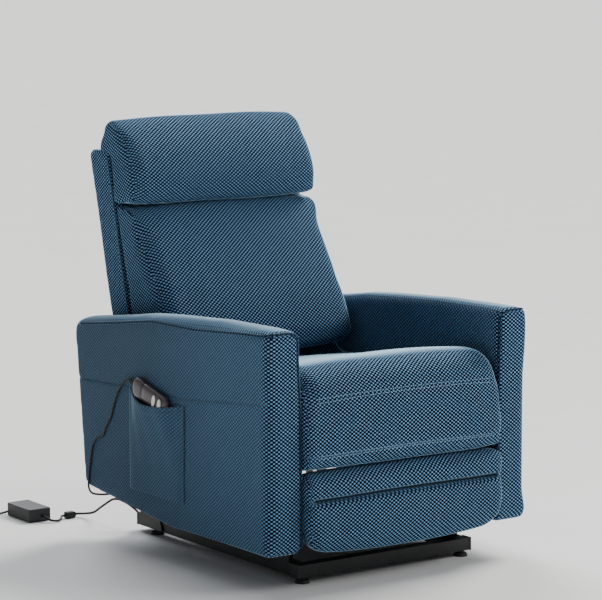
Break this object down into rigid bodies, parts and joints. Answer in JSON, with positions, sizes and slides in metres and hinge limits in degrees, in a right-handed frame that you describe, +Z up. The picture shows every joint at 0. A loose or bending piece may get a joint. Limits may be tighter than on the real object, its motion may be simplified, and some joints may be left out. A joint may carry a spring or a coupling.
{
  "type": "lift recliner chair",
  "caption": "Upholstered powered armchair that tilts forward to help a person stand, with reclining back, rising footrest, wired handset and floor power supply.",
  "frame": {"origin": "on the floor under the middle of the overall box of the chair and its floor power supply, level with the undersides of the base feet; the chair's own middle plane is at X = 0.0975", "axes": "+X to the sitting person's left, +Y towards the back of the chair, +Z up"},
  "size_m": [0.965, 1.1588, 1.05],
  "materials": {
    "fabric_blue": "knitted mesh upholstery with dark holes between light blue threads",
    "wood": "raw plywood and softwood frame",
    "steel_black": "satin black powder coat",
    "steel_zinc": "bright zinc plated",
    "plastic_black": "fine textured moulded plastic",
    "plastic_grey": "satin dark grey-brown moulded plastic",
    "button_white": "satin white moulded key",
    "rubber_black": "matt cable sheath and foot pad",
    "lining": "dark woven lining"
  },
  "bodies": {
    "base": {"base_rail_left": "steel_black", "base_rail_right": "steel_black", "base_front_bar": "steel_black", "base_rear_bar": "steel_black", "base_end_caps": "plastic_black", "base_feet": "rubber_black", "base_front_posts": "steel_black", "lift_bracket_left": "steel_black", "lift_bracket_right": "steel_black", "lift_pivot_pins": "steel_zinc", "power_adapter": "plastic_black", "adapter_lead": "rubber_black", "lead_connector": "rubber_black", "mains_lead": "rubber_black"},
    "lift_arm": {"lift_arm_left": "steel_black", "lift_arm_right": "steel_black", "lift_arm_cross_tube": "steel_black"},
    "lift_link": {"lift_links": "steel_black"},
    "lift_motor_body": {"lift_motor": "plastic_black", "lift_actuator_tube": "steel_black"},
    "lift_rod_body": {"lift_rod": "steel_zinc"},
    "chair": {"side_plate_left": "steel_black", "side_plate_right": "steel_black", "front_cross_tube": "steel_black", "lift_cross_tube": "steel_black", "chair_pivot_pins": "steel_zinc", "seat_frame": "wood", "seat_springs": "steel_zinc", "seat_cushion": "fabric_blue", "arm_frame_left": "wood", "arm_frame_right": "wood", "arm_cover_left": "fabric_blue", "arm_cover_right": "fabric_blue", "arm_bolts": "steel_zinc", "handset_pocket": "fabric_blue", "rear_panel": "fabric_blue", "control_box": "plastic_black", "handset_cable": "rubber_black"},
    "backrest": {"back_frame": "wood", "back_springs": "steel_zinc", "back_shell": "fabric_blue", "back_cushion": "fabric_blue", "headrest_pillow": "fabric_blue", "back_bracket_left": "steel_black", "back_bracket_right": "steel_black", "back_hinge_pins": "steel_zinc", "recline_crank": "steel_black"},
    "recline_motor_body": {"recline_motor": "plastic_black", "recline_actuator_tube": "steel_black"},
    "recline_rod_body": {"recline_rod": "steel_zinc"},
    "footrest_front": {"footrest_front_links": "steel_black"},
    "footrest_rear": {"footrest_rear_links": "steel_black"},
    "footrest_upper": {"footrest_upper_links": "steel_black"},
    "footrest_lower": {"footrest_lower_links": "steel_black"},
    "footrest": {"footrest_brackets": "steel_black", "footrest_board": "wood", "footrest_pad": "fabric_blue"},
    "handset": {"handset_case": "plastic_grey"},
    "button_up": {"handset_button_up": "button_white"},
    "button_down": {"handset_button_down": "button_white"}
  },
  "joints": [
    {"name": "lift", "type": "hinge", "parent": "base", "child": "lift_arm", "pos_m": [0.0975, 0.1396, 0.105], "axis": [-1, 0, 0], "range_deg": [0, 28]},
    {"name": "lift_seat_tilt", "type": "hinge", "parent": "lift_arm", "child": "chair", "pos_m": [0.0975, -0.3404, 0.095], "axis": [1, 0, 0], "range_deg": [0, 54.02]},
    {"name": "lift_link_swing", "type": "hinge", "parent": "base", "child": "lift_link", "pos_m": [0.0975, 0.1625, 0.195], "axis": [-1, 0, 0], "range_deg": [0, 27.71]},
    {"name": "lift_motor_swing", "type": "hinge", "parent": "base", "child": "lift_motor_body", "pos_m": [0.0975, 0.2046, 0.062], "axis": [-1, 0, 0], "range_deg": [0, 28.19]},
    {"name": "lift_rod_slide", "type": "slide", "parent": "lift_motor_body", "child": "lift_rod_body", "axis": [0, -0.9802, 0.1982], "range_m": [0, 0.10237]},
    {"name": "recline", "type": "hinge", "parent": "chair", "child": "backrest", "pos_m": [0.0975, 0.1196, 0.37], "axis": [-1, 0, 0], "range_deg": [0, 40]},
    {"name": "recline_motor_swing", "type": "hinge", "parent": "chair", "child": "recline_motor_body", "pos_m": [0.0975, -0.3624, 0.286], "axis": [-1, 0, 0], "range_deg": [-1.32, 0]},
    {"name": "recline_rod_slide", "type": "slide", "parent": "recline_motor_body", "child": "recline_rod_body", "axis": [0, 0.9938, -0.1109], "range_m": [-0.09629, 0]},
    {"name": "footrest_open", "type": "hinge", "parent": "chair", "child": "footrest_front", "pos_m": [0.0975, -0.4041, 0.2778], "axis": [-1, 0, 0], "range_deg": [0, 117.8]},
    {"name": "footrest_rear_swing", "type": "hinge", "parent": "chair", "child": "footrest_rear", "pos_m": [0.0975, -0.3568, 0.2501], "axis": [-1, 0, 0], "range_deg": [0, 118.95]},
    {"name": "footrest_upper_swing", "type": "hinge", "parent": "footrest_front", "child": "footrest_upper", "pos_m": [0.0975, -0.3181, 0.1498], "axis": [-1, 0, 0], "range_deg": [-114.55, 0]},
    {"name": "footrest_lower_swing", "type": "hinge", "parent": "footrest_front", "child": "footrest_lower", "pos_m": [0.0975, -0.2925, 0.1115], "axis": [-1, 0, 0], "range_deg": [-109.75, 0]},
    {"name": "footrest_board_turn", "type": "hinge", "parent": "footrest_upper", "child": "footrest", "pos_m": [0.0975, -0.4884, 0.236], "axis": [-1, 0, 0], "range_deg": [0, 83.35]},
    {"name": "handset_lift_out", "type": "slide", "parent": "chair", "child": "handset", "axis": [0, 0, 1], "range_m": [0, 0.12]},
    {"name": "button_up_press", "type": "slide", "parent": "handset", "child": "button_up", "axis": [1, 0, 0], "range_m": [0, 0.0015], "stiffness_N_per_m": 400, "springref_m": -0.0005},
    {"name": "button_down_press", "type": "slide", "parent": "handset", "child": "button_down", "axis": [1, 0, 0], "range_m": [0, 0.0015], "stiffness_N_per_m": 400, "springref_m": -0.0005}
  ],
  "couplings": [
    {"joint": "lift_seat_tilt", "follows": "lift", "ratio": 1.9286},
    {"joint": "lift_link_swing", "follows": "lift", "ratio": 0.98905},
    {"joint": "lift_motor_swing", "follows": "lift", "ratio": 1.0059},
    {"joint": "lift_rod_slide", "follows": "lift", "m_per_rad": 0.20927},
    {"joint": "recline_motor_swing", "follows": "recline", "ratio": -0.032508},
    {"joint": "recline_rod_slide", "follows": "recline", "m_per_rad": -0.13778},
    {"joint": "footrest_rear_swing", "follows": "footrest_open", "ratio": 1.0093},
    {"joint": "footrest_upper_swing", "follows": "footrest_open", "ratio": -0.97199},
    {"joint": "footrest_lower_swing", "follows": "footrest_open", "ratio": -0.93124},
    {"joint": "footrest_board_turn", "follows": "footrest_open", "ratio": 0.70713}
  ]
}
